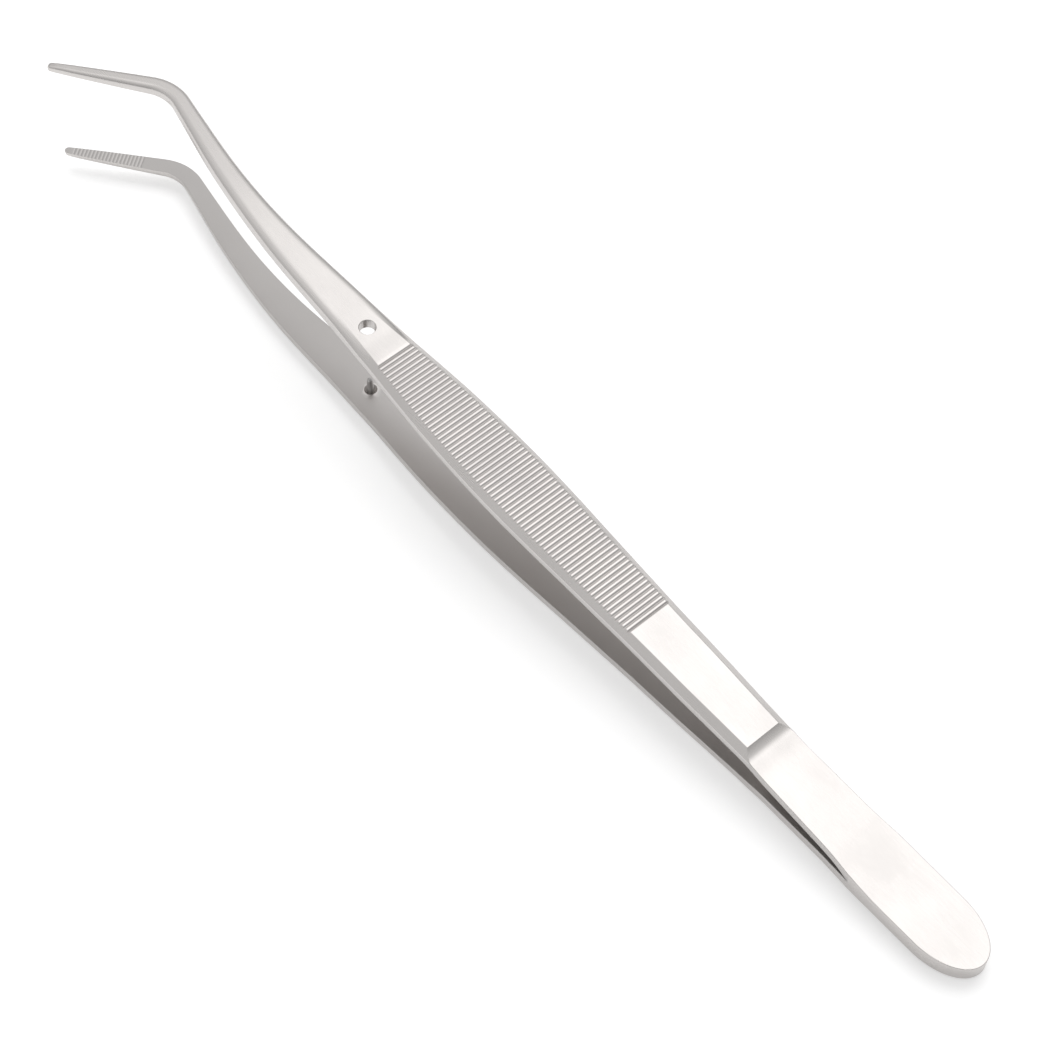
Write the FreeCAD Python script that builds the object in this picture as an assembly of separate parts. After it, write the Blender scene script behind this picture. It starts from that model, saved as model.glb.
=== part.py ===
import FreeCAD, Part
import math
import os

V = FreeCAD.Vector
os.makedirs("parts", exist_ok=True)

# Contra-angled dental dressing pliers: two forged spring-steel blades welded at the butt, with a
# guide pin on the lower blade that enters a hole in the upper one. Millimetres.
#
# The blades are drawn in the closing frame: X runs from the butt to the beaks, Y is the side the
# beaks turn to, and the blades are mirror images about Z = 0. They stand open, as they rest.
# At the end everything is turned to lie on the lower blade's outer flat, Z up.

# Plan view of a blade's centre line: (length, turn in degrees), from the butt end.
PLAN = ((112.1, 0.0),      # straight handle
        (22.2, -11.5),     # shank swings away first (contra-angle)
        (7.3, 0.0),
        (5.0, 48.7),       # tight bend to the beak
        (13.4, 0.0))       # straight beak
LENGTH = sum(run for run, turn in PLAN)

# Side view of the inner face. A station is a distance from the butt end along the centre line.
BUTT = 16.0                # the blades are welded face to face this far
ROOT_RUN = 3.0             # the slit's end opens bluntly over this run
SET_FROM = 28.5            # the leaf bends outward once more from here
SET_MID = 31.0             # where that bend is steepest
LEDGE_AT = 31.7            # foot of the step from the leaf up to the grip
HANDLE_FROM = 33.0         # straight handle
HANDLE_TO = 113.6
GRIP_AT = 33.2             # top of the step
BEAK_FROM = 128.5          # straight from here to the tip
ROOT_SLOPE = 0.30
LEAF_SLOPE = 0.055
SET_SLOPE = 0.195
HANDLE_SLOPE = 0.0572
BEAK_SLOPE = 0.0267
# runs of the side view: (length, slope at its start, slope at its end)
SIDE = ((BUTT, 0.0, 0.0),
        (ROOT_RUN, ROOT_SLOPE, LEAF_SLOPE),
        (SET_FROM - BUTT - ROOT_RUN, LEAF_SLOPE, LEAF_SLOPE),
        (SET_MID - SET_FROM, LEAF_SLOPE, SET_SLOPE),
        (HANDLE_FROM - SET_MID, SET_SLOPE, HANDLE_SLOPE),
        (HANDLE_TO - HANDLE_FROM, HANDLE_SLOPE, HANDLE_SLOPE),
        (BEAK_FROM - HANDLE_TO, HANDLE_SLOPE, BEAK_SLOPE),
        (LENGTH - BEAK_FROM, BEAK_SLOPE, BEAK_SLOPE))

# Half-widths in plan. The leaf's are evenly spaced from the weld to the ledge.
BUTT_HALF = 3.82
BUTT_ROUND = 6.5           # length of the half-oval butt end
FLANK_DRAW = 0.06          # slope at which the butt's flanks run into the leaves
LEAF_HALF = (3.73, 3.56, 3.44, 3.39, 3.35, 3.31, 3.27, 3.23, 3.20)
GRIP_HALF = ((GRIP_AT, 3.21), (38.0, 3.35), (43.0, 3.50), (50.0, 3.64), (56.0, 3.84),
             (62.0, 4.05), (68.0, 4.27), (74.0, 4.38), (80.0, 4.29), (86.0, 4.05),
             (91.0, 3.68), (96.0, 3.24))

# Sections.
LEAF_T = 1.17              # spring leaf thickness
ROOT_T = 1.45              # half the butt's thickness at the slit's end
FLARE_AT = 12.5            # the butt is flat up to here, twice the leaf thick
GRIP_T = 1.68              # grip thickness over its outer flat
WALL = 1.02                # upright side of the grip
BEVEL = 0.89               # plan width of the bevel beside the flat
STOCK = 0.06               # left over the flat by the forging, planed off
RIB_SHY = 0.05             # the ribs' tops lie this far below the plain flats
POLISH_FROM = 97.5         # the plain flat beyond the ribs ends here
SHANK_SHY = 0.05           # from there the shank is polished this far below it
# step up to the grip: (share of its run, share of its rise)
STEP = ((0.0, 0.0), (0.2, 0.04), (0.47, 0.20), (0.73, 0.48), (1.0, 1.0))
# shank and beak: station, half-width, share of WALL, crown's share of the half-width,
# share of GRIP_T, roundness of the shoulders from 0 to 1
SHANK = ((98.5, 3.08, 1.00, 0.680, 1.020, 0.35),
         (101.5, 2.89, 1.00, 0.620, 1.004, 0.70),
         (105.0, 2.67, 0.97, 0.547, 0.982, 1.0),
         (109.5, 2.45, 0.94, 0.480, 0.972, 1.0),
         (114.0, 2.22, 0.90, 0.420, 0.975, 1.0),
         (120.0, 1.90, 0.84, 0.360, 0.985, 1.0),
         (126.0, 1.64, 0.78, 0.320, 0.975, 1.0),
         (132.0, 1.45, 0.70, 0.305, 0.935, 1.0),
         (137.0, 1.29, 0.63, 0.30, 0.888, 1.0),
         (140.5, 1.19, 0.58, 0.30, 0.847, 1.0),
         (142.3, 1.15, 0.55, 0.30, 0.824, 1.0),
         (143.5, 1.12, 0.53, 0.30, 0.806, 1.0),
         (144.7, 1.10, 0.51, 0.30, 0.788, 1.0),
         (145.9, 1.07, 0.49, 0.30, 0.770, 1.0),
         (148.0, 1.01, 0.45, 0.30, 0.730, 1.0),
         (152.0, 0.88, 0.38, 0.30, 0.647, 1.0),
         (156.0, 0.72, 0.32, 0.30, 0.553, 1.0),
         (158.8, 0.56, 0.28, 0.29, 0.482, 1.0),
         (LENGTH, 0.46, 0.24, 0.27, 0.388, 1.0))

# Grip grooves and beak serrations.
GROOVE_COUNT = 70
GROOVE_FROM, GROOVE_TO = 51.6, 95.3
GROOVE_W, GROOVE_D = 0.36, 0.17
TOOTH_COUNT = 20
TOOTH_FROM, TOOTH_TO = 149.6, 158.7
TOOTH_W, TOOTH_D = 0.26, 0.11

# Guide pin and its hole.
PIN_AT = 100.5             # station of both
PIN_LEN = 2.1              # above the lower blade's inner face
PIN_BASE_R, PIN_TOP_R = 0.50, 0.33
PIN_SEAT_R = 0.60          # pressed into the lower blade
PIN_SHY = 0.04             # the pressed foot stays this far inside the outer flat
RECESS_R, RECESS_D = 0.82, 0.30
HOLE_R = 1.00
HOLE_CHAMFER = 0.12

TIP_GAP = 0.04             # between the tips when the pliers are closed
REST_AT = 42.4             # station under which the origin lies, on the lower outer flat
OVER = 0.5                 # how far cutting tools pass the faces they cut


def plan(s):
    """Point of the centre line in plan at station s, and its heading in radians."""
    x = y = heading = 0.0
    for run, turn in PLAN:
        step = min(s, run)
        bend = math.radians(turn) * step / run
        if abs(turn) > 0.0:
            radius = run / math.radians(turn)
            x += radius * (math.sin(heading + bend) - math.sin(heading))
            y -= radius * (math.cos(heading + bend) - math.cos(heading))
        else:
            x += step * math.cos(heading)
            y += step * math.sin(heading)
        heading += bend
        s -= step
        if s <= 0.0:
            break
    return x, y, heading


def rise(s):
    """Height of the upper blade's inner face above the mid-plane at station s."""
    z = 0.0
    for run, first, last in SIDE:
        step = min(s, run)
        z += step * (first + (last - first) * step / run / 2.0)
        s -= step
        if s <= 0.0:
            break
    return z


def at(s, across, up):
    """Point of the upper blade: station, distance across it, height above its inner face."""
    x, y, heading = plan(s)
    return V(x - across * math.sin(heading), y + across * math.cos(heading), rise(s) + up)


def line(a, b):
    return Part.LineSegment(a, b).toShape()


def arch(a, pull, b):
    curve = Part.BezierCurve()
    curve.setPoles([a, pull, b])
    return curve.toShape()


def plate(s, half, thick):
    """Rectangular section of the spring leaf."""
    p = [at(s, -half, 0), at(s, half, 0), at(s, half, thick), at(s, -half, thick)]
    return Part.Wire([line(p[i], p[(i + 1) % 4]) for i in range(4)])


def leaf_thick(s):
    """Thickness of the leaf: its outer face runs straight past the slit's blunt end."""
    past = min((s - BUTT) / ROOT_RUN, 1.0)
    outer = ROOT_T + (rise(BUTT + ROOT_RUN) + LEAF_T - ROOT_T) * past
    return outer - rise(s) if past < 1.0 else LEAF_T


def section(s, half, wall, crown, thick, roundness):
    """Blade section: flat inner face, upright walls, shoulders, and a flat or narrow crown."""
    out = []
    for side in (1, -1):
        mid = ((half + crown) / 2.0, (wall + thick) / 2.0)
        pull = (mid[0] + roundness * (half - mid[0]), mid[1] + roundness * (thick - mid[1]))
        out.append((at(s, side * half, 0), at(s, side * half, wall),
                    at(s, side * pull[0], pull[1]), at(s, side * crown, thick)))
    r, q = out
    return Part.Wire([line(q[0], r[0]), line(r[0], r[1]), arch(r[1], r[2], r[3]),
                      line(r[3], q[3]), arch(q[3], q[2], q[1]), line(q[1], q[0])])


def grip_section(s, half):
    """Section of the grip, its bevels carried on through the stock over the flat."""
    bevel = BEVEL * (1.0 + STOCK / (GRIP_T - WALL))
    return section(s, half, WALL, half - bevel, GRIP_T + STOCK, 0.0)


def shank_section(s, half, wall, crown, thick, roundness):
    return section(s, half, wall * WALL, crown * half, thick * GRIP_T, roundness)


def half_width(s):
    """Half-width of the grip, shank or beak at station s."""
    rows = [row[:2] for row in GRIP_HALF + SHANK]
    for (a, first), (b, last) in zip(rows, rows[1:]):
        if a <= s <= b:
            return first + (last - first) * (s - a) / (b - a)


def groove_cutter(s, width, depth, up, outward):
    """V-shaped cutter lying across the blade at station s, its open side outward."""
    half = half_width(s) + OVER

    def corner(ds, across, height):
        x, y, heading = plan(s)
        return V(x + ds * math.cos(heading) - across * math.sin(heading),
                 y + ds * math.sin(heading) + across * math.cos(heading),
                 rise(s) + ds * (rise(s + 0.5) - rise(s - 0.5)) + height)
    proud = depth
    wide = width / 2.0 * (1.0 + proud / depth)
    tri = [corner(-wide, -half, up + outward * proud), corner(wide, -half, up + outward * proud),
           corner(0.0, -half, up - outward * depth)]
    far = corner(0.0, half, 0.0) - corner(0.0, -half, 0.0)
    return Part.Face(Part.makePolygon(tri + tri[:1])).extrude(far)


def outer_cutter(first, last, depth):
    """Box that lowers the outer face by depth, from one station of the handle towards another."""
    box = Part.makeBox(last - first, LENGTH, GRIP_T, V(0, -LENGTH / 2.0, 0))
    box.rotate(V(0, 0, 0), V(0, 1, 0), -tilt)
    box.translate(at(first, 0, GRIP_T - depth))
    return box


def spread(first, last, count):
    return [first + (last - first) * i / (count - 1.0) for i in range(count)]


# Closing angle of each arm about the front edge of the weld: the beak tips just meet.
tip = at(LENGTH, 0, 0)
CLOSE = math.atan2(tip.z, tip.x - BUTT) - TIP_GAP / (tip.x - BUTT)

# The instrument lies on the lower blade's outer flat: a point of that flat, and its slope.
tilt = math.degrees(math.atan(HANDLE_SLOPE))
rest = at(REST_AT, 0, GRIP_T)

# Upper blade, from the weld's front edge to the beak.
leaf_stations = spread(BUTT, LEDGE_AT, len(LEAF_HALF))
leaf = Part.makeLoft([plate(s, w, leaf_thick(s)) for s, w in zip(leaf_stations, LEAF_HALF)],
                     True, False)
grip = Part.makeLoft([grip_section(s, w) for s, w in GRIP_HALF], True, False)
shank = Part.makeLoft([grip_section(*GRIP_HALF[-1])] + [shank_section(*row) for row in SHANK],
                      True, False)
ledge = []
for run, climb in STEP:
    half = LEAF_HALF[-1] + (GRIP_HALF[0][1] - LEAF_HALF[-1]) * run
    ledge.append(plate(LEDGE_AT + (GRIP_AT - LEDGE_AT) * run, half, LEAF_T + (GRIP_T - LEAF_T) * climb))
ledge = Part.makeLoft(ledge, True, True)
# the grip's bevels run on round the corners of the ledge
bevels = Part.makeLoft([grip_section(LEDGE_AT - OVER, GRIP_HALF[0][1]),
                        grip_section(GRIP_AT, GRIP_HALF[0][1])], True, True)
blade = leaf.fuse([ledge.common(bevels), grip, shank]).removeSplitter()

planer = Part.makeBox(3 * LENGTH, LENGTH, GRIP_T, V(-LENGTH, -LENGTH / 2.0, 0))
planer.rotate(V(0, 0, 0), V(0, 1, 0), -tilt)
planer.translate(rest)
lowered = [outer_cutter(GROOVE_FROM, GROOVE_TO, RIB_SHY),
           outer_cutter(POLISH_FROM, 2 * LENGTH, SHANK_SHY)]
grooves = [groove_cutter(s, GROOVE_W, GROOVE_D, GRIP_T - RIB_SHY, 1)
           for s in spread(GROOVE_FROM, GROOVE_TO, GROOVE_COUNT)]
teeth = [groove_cutter(s, TOOTH_W, TOOTH_D, 0.0, -1)
         for s in spread(TOOTH_FROM, TOOTH_TO, TOOTH_COUNT)]
blade = blade.cut([planer] + lowered).cut(grooves + teeth).Solids[0]
lower_blade = blade.mirror(V(0, 0, 0), V(0, 0, 1))

# Pin and hole share one axis when the blades are closed, so each leans with its open blade.
lean = V(-math.sin(CLOSE), 0, math.cos(CLOSE))
hole_foot = at(PIN_AT, 0, 0)
through = Part.makeCylinder(HOLE_R, GRIP_T + 2 * OVER, hole_foot - lean * OVER, lean)
top = hole_foot + lean * GRIP_T
sink = Part.makeCone(HOLE_R, HOLE_R + OVER, OVER, top - lean * HOLE_CHAMFER, lean)
sink_in = Part.makeCone(HOLE_R, HOLE_R + OVER, OVER, hole_foot + lean * HOLE_CHAMFER, lean * -1)
upper_blade = blade.cut([through, sink, sink_in]).Solids[0]

pin_foot = V(hole_foot.x, 0, -hole_foot.z)
upright = V(-lean.x, 0, lean.z)
seat = Part.makeCylinder(PIN_SEAT_R, GRIP_T + 2 * OVER, pin_foot - upright * (GRIP_T + OVER), upright)
recess = Part.makeCone(PIN_SEAT_R, RECESS_R, RECESS_D, pin_foot - upright * RECESS_D, upright)
recess_mouth = Part.makeCylinder(RECESS_R, OVER, pin_foot, upright)
lower_blade = lower_blade.cut([seat, recess, recess_mouth]).Solids[0]

# Guide pin: pressed foot, tapered stem, rounded end.
foot_depth = GRIP_T - PIN_SHY
nose = PIN_LEN - PIN_TOP_R
guide_pin = Part.makeCylinder(PIN_SEAT_R, foot_depth - RECESS_D, V(0, 0, -foot_depth))
guide_pin = guide_pin.fuse([
    Part.makeCone(PIN_BASE_R, PIN_TOP_R, nose + RECESS_D, V(0, 0, -RECESS_D)),
    Part.makeSphere(PIN_TOP_R, V(0, 0, nose))]).removeSplitter().Solids[0]
guide_pin.rotate(V(0, 0, 0), V(0, 1, 0), math.degrees(CLOSE))
guide_pin.translate(pin_foot)

# Welded butt: both leaves fused, half-oval end, its faces parting towards the slit.
front_half = LEAF_HALF[0]
flank = []
for side in (1, -1):
    curve = Part.BSplineCurve()
    curve.interpolate([V(BUTT_ROUND, side * BUTT_HALF, 0),
                       V((BUTT_ROUND + BUTT) / 2.0, side * BUTT_HALF, 0),
                       V(BUTT, side * front_half, 0)],
                      InitialTangent=V(1, 0, 0), FinalTangent=V(1, -side * FLANK_DRAW, 0))
    flank.append(curve.toShape())
oval = Part.Ellipse(V(BUTT_ROUND, 0, 0), BUTT_ROUND, BUTT_HALF)
end = Part.Arc(oval, math.pi / 2.0, 3.0 * math.pi / 2.0).toShape()
front = line(V(BUTT, front_half, 0), V(BUTT, -front_half, 0))
outline = Part.Wire(Part.__sortEdges__([end, flank[0], flank[1], front]))
outline = Part.Face(outline)
outline.translate(V(0, 0, -ROOT_T - OVER))
side_view = [V(-OVER, -BUTT_HALF - OVER, LEAF_T), V(FLARE_AT, -BUTT_HALF - OVER, LEAF_T),
             V(BUTT, -BUTT_HALF - OVER, ROOT_T)]
side_view += [V(v.x, v.y, -v.z) for v in reversed(side_view)]
side_view = Part.Face(Part.makePolygon(side_view + side_view[:1]))
joined_butt = outline.extrude(V(0, 0, 2 * (ROOT_T + OVER)))
joined_butt = joined_butt.common(side_view.extrude(V(0, 2 * (BUTT_HALF + OVER), 0))).Solids[0]

# Lay the instrument on the lower blade's outer flat.
foot = V(rest.x, 0, -rest.z)
nodes = {"joined_butt": joined_butt, "upper_blade": upper_blade,
         "lower_blade": lower_blade, "guide_pin": guide_pin}
for name, shape in nodes.items():
    shape = shape.copy()
    shape.translate(foot * -1)
    shape.rotate(V(0, 0, 0), V(0, 1, 0), -tilt)
    nodes[name] = shape
    shape.exportStep("parts/" + name + ".step")

turn = FreeCAD.Rotation(V(0, 1, 0), -tilt)
hinge = turn.multVec(V(BUTT, 0, 0) - foot)
print("closing angle of each arm, degrees:", round(math.degrees(CLOSE), 4))
print("hinge line through, mm:", [round(c, 4) for c in hinge])
for name, shape in nodes.items():
    box = shape.BoundBox
    print(name, shape.ShapeType, len(shape.Solids), shape.isValid(), round(shape.Volume, 2),
          [round(c, 2) for c in (box.XMin, box.XMax, box.YMin, box.YMax, box.ZMin, box.ZMax)])
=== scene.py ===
import bpy
import math
from mathutils import Matrix, Vector


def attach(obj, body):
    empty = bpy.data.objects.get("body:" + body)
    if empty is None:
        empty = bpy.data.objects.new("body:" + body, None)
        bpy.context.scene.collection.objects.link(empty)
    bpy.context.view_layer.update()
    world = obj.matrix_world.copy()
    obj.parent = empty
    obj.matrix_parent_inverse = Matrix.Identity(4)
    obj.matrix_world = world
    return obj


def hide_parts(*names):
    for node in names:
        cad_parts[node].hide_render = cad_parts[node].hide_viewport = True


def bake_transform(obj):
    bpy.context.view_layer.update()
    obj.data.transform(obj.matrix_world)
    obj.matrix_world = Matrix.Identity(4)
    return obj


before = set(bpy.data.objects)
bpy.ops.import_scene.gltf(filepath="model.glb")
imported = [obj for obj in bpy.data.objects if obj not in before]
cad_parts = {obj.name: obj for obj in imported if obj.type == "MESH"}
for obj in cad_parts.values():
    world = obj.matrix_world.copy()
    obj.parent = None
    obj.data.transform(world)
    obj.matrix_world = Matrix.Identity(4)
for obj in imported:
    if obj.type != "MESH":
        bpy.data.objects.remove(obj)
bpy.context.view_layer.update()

# Contra-angled dental dressing pliers in satin-polished steel.
# Shapes are worked out in millimetres in the closing frame: X runs from the butt end to the beaks,
# Y is the side the beaks turn to, and the blades are mirror images about Z = 0. A station is a
# distance from the butt end along the centre line. row() carries a point to the frame's metres.

MM = 0.001

# Centre line in plan: (length, turn in degrees).
PLAN = ((112.1, 0.0), (22.2, -11.5), (7.3, 0.0), (5.0, 48.7), (13.4, 0.0))
LENGTH = sum(run for run, turn in PLAN)

# Side view of the inner face: (length, slope at its start, slope at its end).
BUTT = 16.0                # the blades are welded face to face this far
ROOT_RUN = 3.0             # the slit's end opens bluntly over this run
LEDGE_AT, GRIP_AT = 31.7, 33.2
HANDLE_SLOPE = 0.0572
SIDE = ((BUTT, 0.0, 0.0),
        (ROOT_RUN, 0.30, 0.055),
        (9.5, 0.055, 0.055),
        (2.5, 0.055, 0.195),
        (2.0, 0.195, HANDLE_SLOPE),
        (80.6, HANDLE_SLOPE, HANDLE_SLOPE),
        (14.9, HANDLE_SLOPE, 0.0267),
        (40.0, 0.0267, 0.0267))

# Sizes of the sections.
BUTT_HALF, BUTT_ROUND, FLANK_DRAW = 3.82, 6.5, 0.06
LEAF_T, GRIP_T, WALL, BEVEL = 1.17, 1.68, 1.02, 0.89
RIB_SHY = 0.05             # the ribs' tops lie this far below the plain flats
POLISH_FROM, SHANK_SHY = 97.5, 0.05    # from here the shank is polished this far below them
ROOT_T, FLARE_AT = 1.45, 12.5    # half the butt's thickness at the slit, and where it starts to grow
LEAF_HALF = ((BUTT, 3.73), (17.96, 3.56), (19.93, 3.44), (21.89, 3.39), (23.85, 3.35),
             (25.81, 3.31), (27.78, 3.27), (29.74, 3.23), (LEDGE_AT, 3.20))
GRIP_HALF = ((LEDGE_AT, 3.20), (GRIP_AT, 3.21), (38.0, 3.35), (43.0, 3.50), (50.0, 3.64),
             (56.0, 3.84), (62.0, 4.05), (68.0, 4.27), (74.0, 4.38), (80.0, 4.29),
             (86.0, 4.05), (91.0, 3.68), (96.0, 3.24))
# station, half-width, share of WALL, crown's share of the half-width, share of GRIP_T, roundness
SHANK = ((96.0, 3.24, 1.00, 0.725, 1.035, 0.0),
         (98.5, 3.08, 1.00, 0.680, 1.020, 0.35),
         (101.5, 2.89, 1.00, 0.620, 1.004, 0.70),
         (105.0, 2.67, 0.97, 0.547, 0.982, 1.0),
         (109.5, 2.45, 0.94, 0.480, 0.972, 1.0),
         (114.0, 2.22, 0.90, 0.420, 0.975, 1.0),
         (120.0, 1.90, 0.84, 0.360, 0.985, 1.0),
         (126.0, 1.64, 0.78, 0.320, 0.975, 1.0),
         (132.0, 1.45, 0.70, 0.305, 0.935, 1.0),
         (137.0, 1.29, 0.63, 0.30, 0.888, 1.0),
         (140.5, 1.19, 0.58, 0.30, 0.847, 1.0),
         (142.3, 1.15, 0.55, 0.30, 0.824, 1.0),
         (144.7, 1.10, 0.51, 0.30, 0.788, 1.0),
         (148.0, 1.01, 0.45, 0.30, 0.730, 1.0),
         (152.0, 0.88, 0.38, 0.30, 0.647, 1.0),
         (156.0, 0.72, 0.32, 0.30, 0.553, 1.0),
         (158.8, 0.56, 0.28, 0.29, 0.482, 1.0),
         (LENGTH, 0.46, 0.24, 0.27, 0.388, 1.0))

# Grip grooves and beak serrations: count, first and last station, then half the profile of one,
# as (distance from its middle, depth).
GROOVES = (70, 51.6, 95.3)
GROOVE = ((0.0, 0.128), (0.04, 0.122), (0.09, 0.088), (0.14, 0.036), (0.18, 0.010), (0.215, 0.0))
TEETH = (20, 149.6, 158.7)
TOOTH = ((0.0, 0.024), (0.05, 0.020), (0.11, 0.009), (0.16, 0.002), (0.20, 0.0))

# Guide pin and its hole.
PIN_AT, PIN_LEN, PIN_BASE_R, PIN_TOP_R = 100.5, 2.1, 0.50, 0.33
PIN_SEAT_R, RECESS_R, RECESS_D = 0.60, 0.82, 0.30
PIN_SOLE_UP = 0.04         # height of the pin's riveted end above the table
HOLE_R, HOLE_CHAMFER = 1.00, 0.12

EDGE = 0.07                # softness of the blades' edges
LEAF_EDGE = 0.10
TIP_ROUND = 0.45           # length over which the beak's end rounds off
REST_AT = 42.4             # station under which the frame's origin lies


def lerp(a, b, t):
    return a + (b - a) * t


def smoothstep(t):
    t = min(max(t, 0.0), 1.0)
    return t * t * (3.0 - 2.0 * t)


def table_at(rows, s):
    """Columns of a table at station s, on a smooth curve through its rows."""
    s = min(max(s, rows[0][0]), rows[-1][0])
    i = max(k for k in range(len(rows) - 1) if rows[k][0] <= s)
    p, q = rows[i], rows[i + 1]
    before, after = rows[max(i - 1, 0)], rows[min(i + 2, len(rows) - 1)]
    gap = q[0] - p[0]
    t = (s - p[0]) / gap
    out = []
    for c in range(1, len(p)):
        first = (q[c] - before[c]) / (q[0] - before[0]) * gap
        last = (after[c] - p[c]) / (after[0] - p[0]) * gap
        out.append(p[c] * (1 + 2 * t) * (1 - t) ** 2 + first * t * (1 - t) ** 2
                   + q[c] * t * t * (3 - 2 * t) + last * t * t * (t - 1))
    return out


def spread(count, first, last):
    return [first + (last - first) * i / (count - 1.0) for i in range(count)]


def plan(s):
    """Point of the centre line in plan at station s, and its heading."""
    x = y = heading = 0.0
    for run, turn in PLAN:
        step = min(s, run)
        bend = math.radians(turn) * step / run
        if turn:
            radius = run / math.radians(turn)
            x += radius * (math.sin(heading + bend) - math.sin(heading))
            y -= radius * (math.cos(heading + bend) - math.cos(heading))
        else:
            x += step * math.cos(heading)
            y += step * math.sin(heading)
        heading += bend
        s -= step
        if s <= 0.0:
            break
    return x, y, heading


def rise(s):
    """Height of the upper blade's inner face above the mid-plane."""
    z = 0.0
    for run, first, last in SIDE:
        step = min(s, run)
        z += step * (first + (last - first) * step / run / 2.0)
        s -= step
        if s <= 0.0:
            break
    return z


def at(s, across, up, side=1):
    """Point of a blade in the closing frame; side is 1 for the upper blade, -1 for the lower."""
    x, y, heading = plan(s)
    return Vector((x - across * math.sin(heading), y + across * math.cos(heading),
                   side * (rise(s) + up)))


FOOT = Vector((plan(REST_AT)[0], 0.0, -rise(REST_AT) - GRIP_T))
LAY = Matrix.Rotation(-math.atan(HANDLE_SLOPE), 3, "Y")
TIP = at(LENGTH, 0, 0)
CLOSE = math.atan2(TIP.z, TIP.x - BUTT) - 0.04 / (TIP.x - BUTT)
LEAN = Vector((-math.sin(CLOSE), 0.0, math.cos(CLOSE)))


def row(point):
    """Point of the closing frame, in the frame's metres."""
    return (LAY @ (point - FOOT)) * MM


# Blade sections.

def ledge_rise(run):
    return run ** 2.2


def outer(s):
    """Height of the outer face of the butt and the leaf above the mid-plane."""
    if s < BUTT:
        return lerp(LEAF_T, ROOT_T, max(s - FLARE_AT, 0.0) / (BUTT - FLARE_AT))
    if s < BUTT + ROOT_RUN:
        return lerp(ROOT_T, rise(BUTT + ROOT_RUN) + LEAF_T, (s - BUTT) / ROOT_RUN)
    return rise(s) + LEAF_T


def blade_sizes(s):
    """Half-width, wall height, crown half-width, thickness and shoulder roundness at station s."""
    if s < LEDGE_AT:
        half = table_at(LEAF_HALF, s)[0]
        top = outer(s) - rise(s)
        return half, top - LEAF_EDGE, half - LEAF_EDGE, top, 1.0
    slant = BEVEL / (GRIP_T - WALL)
    if s < GRIP_AT:
        half = table_at(GRIP_HALF, s)[0]
        run = (s - LEDGE_AT) / (GRIP_AT - LEDGE_AT)
        top = lerp(LEAF_T, GRIP_T, ledge_rise(run))
        wall = lerp(LEAF_T - LEAF_EDGE, WALL, smoothstep(run * 1.6))
        return half, wall, half - (top - wall) * slant, top, 1.0 - smoothstep(run * 3.0)
    if s <= GRIP_HALF[-1][0]:
        half = table_at(GRIP_HALF, s)[0]
        top = GRIP_T - (RIB_SHY if GROOVES[1] < s < GROOVES[2] else 0.0)
        return half, WALL, half - (top - WALL) * slant, top, 0.0
    half, wall, crown, top, roundness = table_at(SHANK, s)
    planed = rise(REST_AT) + GRIP_T + (plan(s)[0] - plan(REST_AT)[0]) * HANDLE_SLOPE - rise(s)
    if s > POLISH_FROM:
        planed -= SHANK_SHY
    return half, wall * WALL, crown * half, min(top * GRIP_T, planed), roundness


def cut_depth(s, pattern, profile):
    """Depth at station s of a row of like cuts across the blade."""
    count, first, last = pattern
    pitch = (last - first) / (count - 1.0)
    nearest = min(max(round((s - first) / pitch), 0), count - 1)
    away = abs(s - first - nearest * pitch)
    for (a, deep), (b, less) in zip(profile, profile[1:]):
        if away <= b:
            return lerp(deep, less, (away - a) / (b - a))
    return 0.0


def corner(before, point, after, radius, steps):
    """Points of a softened corner of an outline."""
    a = (Vector(before) - Vector(point)).normalized() * radius + Vector(point)
    b = (Vector(after) - Vector(point)).normalized() * radius + Vector(point)
    out = []
    for i in range(steps):
        t = i / (steps - 1.0)
        out.append(a * (1 - t) ** 2 + Vector(point) * 2 * t * (1 - t) + b * t * t)
    return out


SHOULDER_STEPS = (0.12, 0.24, 0.36, 0.48, 0.6, 0.7, 0.78, 0.85, 0.91)


def half_section(s):
    """Right half of the section, from the middle of the inner face to the middle of the crown."""
    half, wall, crown, top, roundness = blade_sizes(s)
    shrink = min(1.0, (LENGTH - s) / TIP_ROUND)
    shrink = max(1.0 - (1.0 - shrink) ** 2, 0.06) ** 0.5
    half, crown = half * shrink, crown * shrink
    wall, top = wall * lerp(0.35, 1.0, shrink), top * lerp(0.35, 1.0, shrink)
    soft = min(EDGE, 0.25 * wall, 0.25 * crown)
    inner_soft = soft * smoothstep((s - BUTT) / 1.5) + 0.004
    mid = ((half + crown) / 2.0, (wall + top) / 2.0)
    pull = (lerp(mid[0], half, roundness), lerp(mid[1], top, roundness))
    points = [Vector((0.0, 0.0)), Vector((half * 0.45, 0.0)), Vector((half - inner_soft * 1.8, 0.0))]
    points += corner((0, 0), (half, 0), (half, wall), inner_soft, 5)
    points.append(Vector((half, wall * 0.5)))
    points += corner((half, 0), (half, wall), pull, min(soft, 0.4 * LEAF_EDGE), 3)
    for t in SHOULDER_STEPS:
        points.append(Vector((half, wall)) * (1 - t) ** 2 + Vector(pull) * 2 * t * (1 - t)
                      + Vector((crown, top)) * t * t)
    points += corner(pull, (crown, top), (0, top), min(soft, 0.4 * LEAF_EDGE), 3)
    points += [Vector((crown - soft * 1.8, top)), Vector((crown * 0.45, top)), Vector((0.0, top))]
    return points, top


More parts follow.
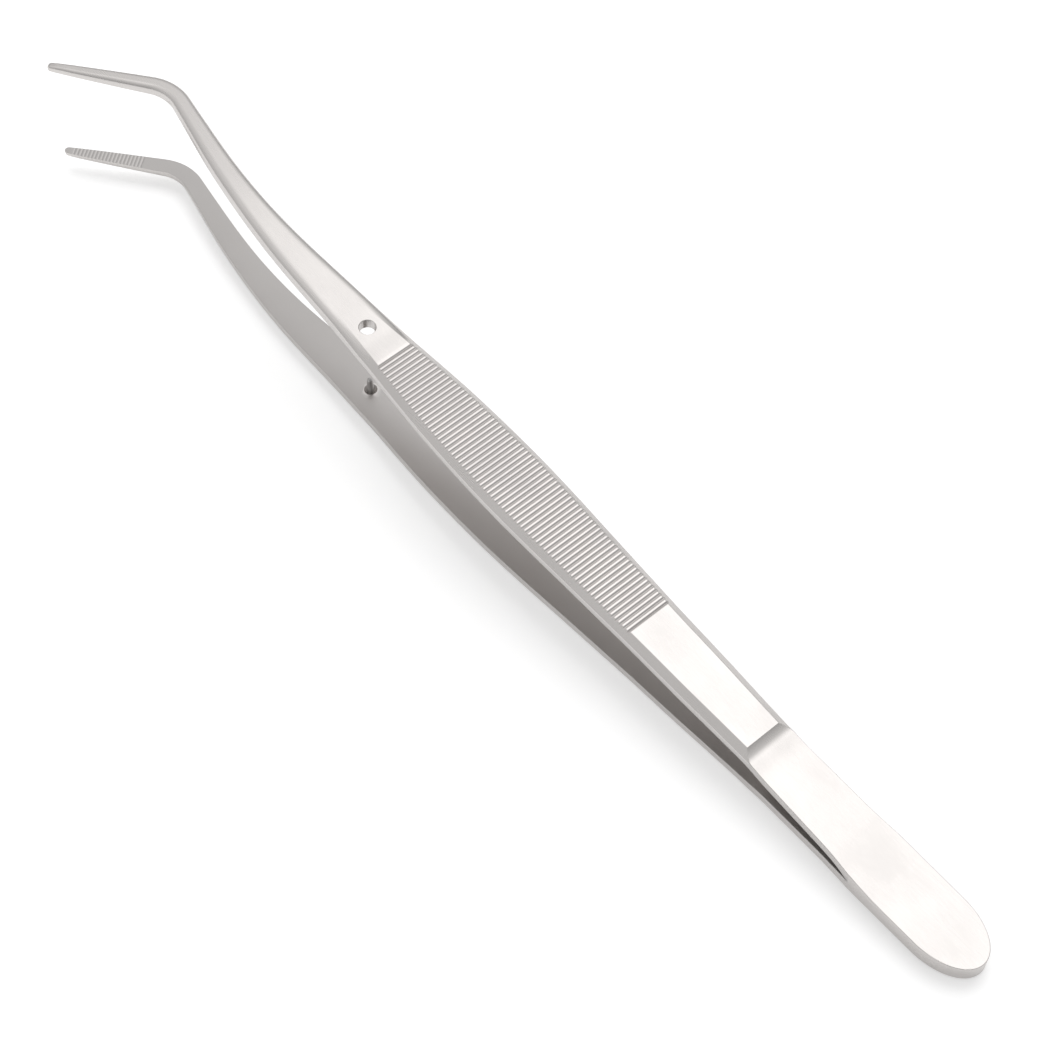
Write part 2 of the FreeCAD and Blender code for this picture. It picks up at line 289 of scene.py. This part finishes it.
def section(s):
    """Whole section as (across, up, groove, inner) points, going round from the inner face."""
    points, top = half_section(s)
    groove = cut_depth(s, GROOVES, GROOVE)
    tooth = cut_depth(s, TEETH, TOOTH)
    half = []
    for across, up in points:
        cut = 0.0
        # Points cut down by a groove carry the mask of the painted shade in the grooves.
        if up > top - groove:
            cut = min(1.0, groove / 0.06)
            up = top - groove
        # Marks the inner face, which gets the darker colour: partly its ground finish, partly painted
        # shade between the blades.
        inner = 1.0 if up < 0.02 else 0.0
        up = max(up, tooth * min(1.0, top / 0.5))
        half.append((across, up, cut, inner))
    return half + [(-a, u, c, i) for a, u, c, i in reversed(half[1:-1])]


def stations():
    """Stations of the blade mesh: close where the section changes fast."""
    out = spread(22, BUTT, 20.0) + spread(22, 20.0, 31.4) + spread(16, 31.6, GRIP_AT - 0.10)
    out += [GRIP_AT - 0.05, GRIP_AT - 0.02, GRIP_AT, GRIP_AT + 0.02, GRIP_AT + 0.06, GRIP_AT + 0.14]
    out += spread(20, 34.2, 51.3)
    for pattern, profile in ((GROOVES, GROOVE), (TEETH, TOOTH)):
        for middle in spread(*pattern):
            out += [middle + d for d, deep in profile] + [middle - d for d, deep in profile[1:]]
    pitch = (GROOVES[2] - GROOVES[1]) / (GROOVES[0] - 1.0)
    out += [middle + pitch / 2.0 for middle in spread(*GROOVES)[:-1]]
    out += spread(18, 96.0, 112.0) + spread(34, 112.0, 133.0) + spread(14, 133.0, 141.0)
    out += spread(28, 141.2, 147.0) + spread(6, 147.2, 149.3)
    out += [LENGTH - TIP_ROUND * (1.0 - math.sin(math.radians(a))) for a in range(0, 91, 10)]
    out = sorted(out)
    kept = [out[0]]
    for s in out[1:]:
        if s - kept[-1] > 0.012:
            kept.append(s)
    return kept


# Meshes.

def make_object(name, verts, faces, marks, body=None):
    mesh = bpy.data.meshes.new(name)
    mesh.from_pydata([row(v) for v in verts], [], faces)
    mesh.update()
    for mark, values in marks.items():
        layer = mesh.attributes.new(mark, "FLOAT", "POINT")
        layer.data.foreach_set("value", values)
    obj = bpy.data.objects.new(name, mesh)
    bpy.context.scene.collection.objects.link(obj)
    if body:
        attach(obj, body)
    return obj


def blade_mesh(name, side):
    """One blade from the weld's front edge to the beak's end, as a closed mesh."""
    rings = [(s, section(s)) for s in stations()]
    count = len(rings[0][1])
    verts, groove, inner, faces = [], [], [], []
    for s, ring in rings:
        for across, up, cut, inside in ring:
            verts.append(at(s, across, up, side))
            groove.append(cut)
            inner.append(inside)
    for r in range(len(rings) - 1):
        for i in range(count):
            j = (i + 1) % count
            quad = (r * count + i, (r + 1) * count + i, (r + 1) * count + j, r * count + j)
            faces.append(quad if side < 0 else quad[::-1])
    first = tuple(range(count))
    last = tuple((len(rings) - 1) * count + i for i in range(count))
    faces.append(first if side < 0 else first[::-1])
    faces.append(last[::-1] if side < 0 else last)
    return make_object(name, verts, faces, {"groove": groove, "inner": inner})


def turned(name, profile, foot, axis, segments=64):
    """Closed solid of revolution: profile of (radius, height) about axis, from foot."""
    along = axis.normalized()
    u = along.cross(Vector((0, 1, 0))).normalized()
    v = along.cross(u)
    verts, faces = [], []
    for radius, height in profile:
        for i in range(segments):
            a = 2.0 * math.pi * i / segments
            verts.append(foot + along * height + (u * math.cos(a) + v * math.sin(a)) * radius)
    for r in range(len(profile) - 1):
        for i in range(segments):
            j = (i + 1) % segments
            faces.append((r * segments + i, r * segments + j,
                          (r + 1) * segments + j, (r + 1) * segments + i))
    faces.append(tuple(reversed(range(segments))))
    faces.append(tuple((len(profile) - 1) * segments + i for i in range(segments)))
    return make_object(name, verts, faces, {})


def cut_away(obj, cutter):
    """Take cutter's solid out of obj's mesh."""
    modifier = obj.modifiers.new("cut", "BOOLEAN")
    modifier.operation, modifier.solver, modifier.object = "DIFFERENCE", "EXACT", cutter
    bpy.context.view_layer.update()
    graph = bpy.context.evaluated_depsgraph_get()
    mesh = bpy.data.meshes.new_from_object(obj.evaluated_get(graph))
    obj.modifiers.clear()
    obj.data = mesh
    bpy.data.objects.remove(cutter)


def shade(obj, sharp=32.0):
    for polygon in obj.data.polygons:
        polygon.use_smooth = True
    obj.data.set_sharp_from_angle(angle=math.radians(sharp))


def butt_outline():
    """Right half of the butt's outline, from the end to the weld's front edge."""
    out = []
    for i in range(49):
        a = math.pi / 2.0 * i / 48.0
        out.append((BUTT_ROUND * (1.0 - math.cos(a)), BUTT_HALF * math.sin(a)))
    front = LEAF_HALF[0][1]
    for i in range(1, 25):
        t = i / 24.0
        x = lerp(BUTT_ROUND, BUTT, t)
        draw = -FLANK_DRAW * (BUTT - BUTT_ROUND)
        y = (BUTT_HALF * (1 + 2 * t) * (1 - t) ** 2 + front * t * t * (3 - 2 * t)
             + draw * t * t * (t - 1))
        out.append((x, y))
    return out


def butt_mesh(name):
    """Welded butt: its outline carried round its softened edges, and strips across its faces."""
    half = butt_outline()
    outline = [(x, -y) for x, y in reversed(half[1:])] + half
    edge = []
    for i in range(7):
        a = math.pi / 2.0 * i / 6.0
        edge.append((LEAF_EDGE * (1.0 - math.cos(a)), LEAF_EDGE * (1.0 - math.sin(a))))
    edge.append((LEAF_EDGE * 1.8, 0.0))
    levels = [(inset, drop, -1) for inset, drop in reversed(edge)] + [(0.0, 0.0, 0)]
    levels += [(inset, drop, 1) for inset, drop in edge]
    verts, faces = [], []
    for inset, drop, side in levels:
        for k, (x, y) in enumerate(outline):
            a = outline[max(k - 1, 0)]
            b = outline[min(k + 1, len(outline) - 1)]
            along = Vector((b[0] - a[0], b[1] - a[1])).normalized()
            if k in (0, len(outline) - 1):
                along = Vector((math.copysign(1.0, along.x), 0.0))
            x += along.y * inset
            verts.append(Vector((x, y - along.x * inset, side * (outer(x) - drop))))
    count = len(outline)
    for r in range(len(levels) - 1):
        for k in range(count - 1):
            faces.append((r * count + k, (r + 1) * count + k,
                          (r + 1) * count + k + 1, r * count + k + 1))
    top = (len(levels) - 1) * count
    for k in range(count // 2):
        far = count - 1 - k
        strip = (k, k + 1, far - 1, far) if far - k > 2 else (k, k + 1, far)
        faces.append(strip)
        faces.append(tuple(top + i for i in reversed(strip)))
    front = [r * count for r in range(len(levels))]
    faces.append(tuple(front[::-1] + [f + count - 1 for f in front]))
    return make_object(name, verts, faces, {}, "butt")


# Materials.

CLOUDS_PER_MM, BRUSH_PER_MM, SPECKS_PER_MM = 0.16, 7.0, 22.0
CLOUD_SHADE = 0.97         # how much duller the cloudy patches of the polish are
BRUSH_COLOUR = (0.55, 0.54, 0.53, 1.0)
INNER_ROUGHER, GROOVE_ROUGHER = 0.10, 0.08
BUMP_HEIGHT = 0.004
SATIN = (0.80, 0.768, 0.748, 1)
# Darker colour of the inner faces: partly their duller ground finish, partly painted shade between the
# blades.
SATIN_DULL_AND_SHADED = (0.62, 0.597, 0.583, 1)
# Darker colour in the grooves: painted shade in the grooves.
SATIN_GROOVE_SHADE = (0.66, 0.632, 0.615, 1)
# The pin's second colour fills the inner-face and groove slots: a duller finish with painted shade.
PIN_COLOUR, PIN_DULL_AND_SHADED = (0.55, 0.54, 0.53, 1), (0.4, 0.4, 0.4, 1)
SATIN_ROUGH, PIN_ROUGH = 0.26, 0.30


def node(tree, kind, **settings):
    made = tree.nodes.new(kind)
    for key, value in settings.items():
        if key.startswith("in_"):
            made.inputs[key[3:].replace("_", " ")].default_value = value
        else:
            setattr(made, key, value)
    return made


def mixed(tree, factor, a, b, kind="MIX"):
    """Colour mix; a and b are colours or sockets."""
    mix = node(tree, "ShaderNodeMix", data_type="RGBA", blend_type=kind)
    for socket, value in ((mix.inputs[0], factor), (mix.inputs[6], a), (mix.inputs[7], b)):
        if isinstance(value, bpy.types.NodeSocket):
            tree.links.new(value, socket)
        else:
            socket.default_value = value
    return mix.outputs[2]


def ranged(tree, value, low, high, to_low, to_high):
    out = node(tree, "ShaderNodeMapRange")
    tree.links.new(value, out.inputs["Value"])
    for key, number in (("From Min", low), ("From Max", high), ("To Min", to_low), ("To Max", to_high)):
        out.inputs[key].default_value = number
    return out.outputs["Result"]


def math_node(tree, operation, a, b):
    out = node(tree, "ShaderNodeMath", operation=operation)
    for socket, value in ((out.inputs[0], a), (out.inputs[1], b)):
        if isinstance(value, bpy.types.NodeSocket):
            tree.links.new(value, socket)
        else:
            socket.default_value = value
    return out.outputs[0]


def noise(tree, coords, scale, stretch, detail=3.0):
    """Noise whose grain is drawn out; scale counts features per millimetre."""
    mapping = node(tree, "ShaderNodeMapping")
    mapping.inputs["Scale"].default_value = [scale * k / MM for k in stretch]
    tree.links.new(coords, mapping.inputs["Vector"])
    made = node(tree, "ShaderNodeTexNoise", in_Scale=1.0, in_Detail=detail)
    tree.links.new(mapping.outputs["Vector"], made.inputs["Vector"])
    return made.outputs["Fac"]


def steel(name, colour, dull_and_shaded_colour, groove_shade_colour, rough):
    """Satin steel: drawn polish marks, cloudy polish, inner faces darkened partly for their duller
    ground finish and partly as painted shade between the blades, and painted shade in the grooves.
    """
    material = bpy.data.materials.new(name)
    material.use_nodes = True
    tree = material.node_tree
    shader = tree.nodes["Principled BSDF"]
    shader.inputs["Metallic"].default_value = 1.0
    coords = node(tree, "ShaderNodeTexCoord").outputs["Object"]
    cloud = noise(tree, coords, CLOUDS_PER_MM, (0.6, 1.0, 1.0), 4.0)
    brushed = noise(tree, coords, BRUSH_PER_MM, (0.05, 1.0, 1.0), 3.0)
    speck = noise(tree, coords, SPECKS_PER_MM, (1.0, 1.0, 1.0), 2.0)
    groove = node(tree, "ShaderNodeAttribute", attribute_name="groove").outputs["Fac"]
    inner = node(tree, "ShaderNodeAttribute", attribute_name="inner").outputs["Fac"]
    clouded = [c * CLOUD_SHADE for c in colour[:3]] + [1]
    tint = mixed(tree, ranged(tree, cloud, 0.35, 0.65, 0.0, 1.0), colour, clouded)
    # Inner faces darkened: partly their ground finish, partly painted shade between the blades.
    tint = mixed(tree, inner, tint, dull_and_shaded_colour)
    # Grooves darkened: painted shade in the grooves.
    tint = mixed(tree, groove, tint, groove_shade_colour)
    tint = mixed(tree, ranged(tree, brushed, 0.3, 0.7, 0.0, 0.05), tint, BRUSH_COLOUR)
    tree.links.new(tint, shader.inputs["Base Color"])
    roughness = ranged(tree, cloud, 0.3, 0.7, rough - 0.03, rough + 0.04)
    roughness = math_node(tree, "ADD", roughness, ranged(tree, brushed, 0.3, 0.7, -0.012, 0.018))
    for mark, extra in ((inner, INNER_ROUGHER), (groove, GROOVE_ROUGHER)):
        roughness = math_node(tree, "ADD", roughness, math_node(tree, "MULTIPLY", mark, extra))
    tree.links.new(roughness, shader.inputs["Roughness"])
    height = math_node(tree, "ADD", brushed, math_node(tree, "MULTIPLY", speck, 0.4))
    bump = node(tree, "ShaderNodeBump", in_Strength=0.08, in_Distance=BUMP_HEIGHT * MM)
    tree.links.new(height, bump.inputs["Height"])
    tree.links.new(bump.outputs["Normal"], shader.inputs["Normal"])
    return material


# Camera, floor and light.

CAMERA_AT, CAMERA_TURN, CAMERA_LENS = (-0.09805, 0.1037, 0.24156), (0.60475, 0.01994, -2.28214), 86.272
FLOOR_HALF, FLOOR_DROP = 1.6, 0.00002
FLOOR_GREY, FLOOR_GLOW, FLOOR_MIRRORED = (0.72, 0.72, 0.72, 1), 0.44, 0.5

# The dome's strength at the horizon and from this height up, then its soft patches as
# (direction, cosine where it starts, cosine where it is full, strength added).
DOME_LOW, DOME_HIGH, DOME_FULL_AT = 0.30, 0.41, 0.5
PATCHES = (((0.09, -0.39, 0.92), 0.45, 0.90, 0.255),
           ((0.09, -0.39, 0.92), 0.88, 1.0, 0.81),
           ((0.45, 0.68, 0.57), 0.55, 0.95, 0.19))


def add_camera():
    data = bpy.data.cameras.new("camera")
    data.sensor_fit = "HORIZONTAL"
    data.sensor_width = 36.0
    data.lens = CAMERA_LENS
    data.clip_start = 0.01
    camera = bpy.data.objects.new("camera", data)
    camera.location = CAMERA_AT
    camera.rotation_euler = CAMERA_TURN
    bpy.context.scene.collection.objects.link(camera)
    bpy.context.scene.camera = camera


def seen_directly(tree, mirrored=0.0):
    """1 for what is seen directly, mirrored for what metal mirrors, 0 for light that falls on things."""
    path = node(tree, "ShaderNodeLightPath").outputs
    seen = math_node(tree, "MAXIMUM", path["Is Camera Ray"], path["Is Transmission Ray"])
    if mirrored:
        glossy = math_node(tree, "MULTIPLY", path["Is Glossy Ray"], mirrored)
        seen = math_node(tree, "MAXIMUM", seen, glossy)
    return seen


def add_floor():
    mesh = bpy.data.meshes.new("floor")
    size = FLOOR_HALF
    mesh.from_pydata([(-size, -size, 0), (size, -size, 0), (size, size, 0), (-size, size, 0)], [],
                     [(0, 1, 2, 3)])
    floor = bpy.data.objects.new("floor", mesh)
    floor.location.z = -FLOOR_DROP
    bpy.context.scene.collection.objects.link(floor)
    material = bpy.data.materials.new("floor_white")
    material.use_nodes = True
    tree = material.node_tree
    shader = tree.nodes["Principled BSDF"]
    shader.inputs["Base Color"].default_value = FLOOR_GREY
    shader.inputs["Roughness"].default_value = 0.9
    shader.inputs["Specular IOR Level"].default_value = 0.0
    shader.inputs["Emission Color"].default_value = (1, 1, 1, 1)
    glow = math_node(tree, "MULTIPLY", seen_directly(tree, FLOOR_MIRRORED), FLOOR_GLOW)
    tree.links.new(glow, shader.inputs["Emission Strength"])
    floor.data.materials.append(material)


def add_area(name, location, target, size, power):
    data = bpy.data.lights.new(name, "AREA")
    data.shape, data.size, data.energy = "DISK", size, power
    lamp = bpy.data.objects.new(name, data)
    lamp.location = location
    lamp.rotation_euler = (Vector(target) - Vector(location)).to_track_quat("-Z", "Y").to_euler()
    lamp.visible_glossy = False
    bpy.context.scene.collection.objects.link(lamp)


def add_world():
    """Pale dome: a bright patch high behind the part, a faint one beside it, duller low down."""
    world = bpy.data.worlds.new("studio")
    bpy.context.scene.world = world
    world.use_nodes = True
    tree = world.node_tree
    background = tree.nodes["Background"]
    direction = node(tree, "ShaderNodeTexCoord").outputs["Generated"]
    parts = node(tree, "ShaderNodeSeparateXYZ")
    tree.links.new(direction, parts.inputs[0])
    dome = ranged(tree, parts.outputs["Z"], 0.0, DOME_FULL_AT, DOME_LOW, DOME_HIGH)
    for way, low, high, gain in PATCHES:
        aim = node(tree, "ShaderNodeVectorMath", operation="DOT_PRODUCT")
        tree.links.new(direction, aim.inputs[0])
        aim.inputs[1].default_value = Vector(way).normalized()
        dome = math_node(tree, "ADD", dome, ranged(tree, aim.outputs["Value"], low, high, 0.0, gain))
    strength = math_node(tree, "MAXIMUM", dome, seen_directly(tree))
    tree.links.new(strength, background.inputs["Strength"])
    background.inputs["Color"].default_value = (1, 1, 1, 1)


bpy.context.scene.view_settings.view_transform = "Standard"
add_camera()
add_floor()
add_world()
add_area("floor_fill", (0.42, -0.50, 0.85), (0.04, 0.0, 0.0), 1.1, 5.0)

satin = steel("satin_steel", SATIN, SATIN_DULL_AND_SHADED, SATIN_GROOVE_SHADE, SATIN_ROUGH)
pin_steel = steel("pin_steel", PIN_COLOUR, PIN_DULL_AND_SHADED, PIN_DULL_AND_SHADED, PIN_ROUGH)

hole_foot = at(PIN_AT, 0, 0)
upper = blade_mesh("blade_upper", 1)
cut_away(upper, turned("hole_cut", (
    (HOLE_R + 0.5, -0.5 + HOLE_CHAMFER - 0.12), (HOLE_R, HOLE_CHAMFER),
    (HOLE_R, GRIP_T - HOLE_CHAMFER), (HOLE_R + 0.5, GRIP_T - HOLE_CHAMFER + 0.5)), hole_foot, LEAN))
lower = blade_mesh("blade_lower", -1)
pin_foot = Vector((hole_foot.x, 0.0, -hole_foot.z))
upright = Vector((-LEAN.x, 0.0, LEAN.z))
cut_away(lower, turned("recess_cut", (
    (PIN_BASE_R * 0.6, -RECESS_D - 0.25), (PIN_SEAT_R, -RECESS_D), (RECESS_R, 0.0),
    (RECESS_R + 0.02, 0.4)), pin_foot, upright))

nose = PIN_LEN - PIN_TOP_R
sole = (row(pin_foot).z / MM - PIN_SOLE_UP) / (LAY @ upright).z
stem = [(PIN_SEAT_R - 0.04, -sole), (PIN_SEAT_R, -sole + 0.04), (PIN_SEAT_R, -RECESS_D - 0.5),
        (PIN_BASE_R, -RECESS_D - 0.45)]
stem += [(lerp(PIN_BASE_R, PIN_TOP_R, t / 8.0), lerp(-RECESS_D, nose, t / 8.0)) for t in range(9)]
stem += [(PIN_TOP_R * math.cos(math.radians(a)), nose + PIN_TOP_R * math.sin(math.radians(a)))
         for a in (15, 30, 45, 60, 72, 83)]
pin = turned("pin_guide", stem, pin_foot, upright, 48)
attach(pin, "lower_arm")

butt = butt_mesh("butt_weld")

for piece, material in ((upper, satin), (lower, satin), (butt, satin), (pin, pin_steel)):
    piece.data.materials.clear()
    piece.data.materials.append(material)
    shade(piece)

bend_from = row(at(BUTT, 0, 0))
row(at(GRIP_AT, 0, 0))
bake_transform(upper)
row(at(GRIP_AT, 0, 0, -1))
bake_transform(lower)
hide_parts("upper_blade")
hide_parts("lower_blade")
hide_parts("joined_butt")
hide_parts("guide_pin")
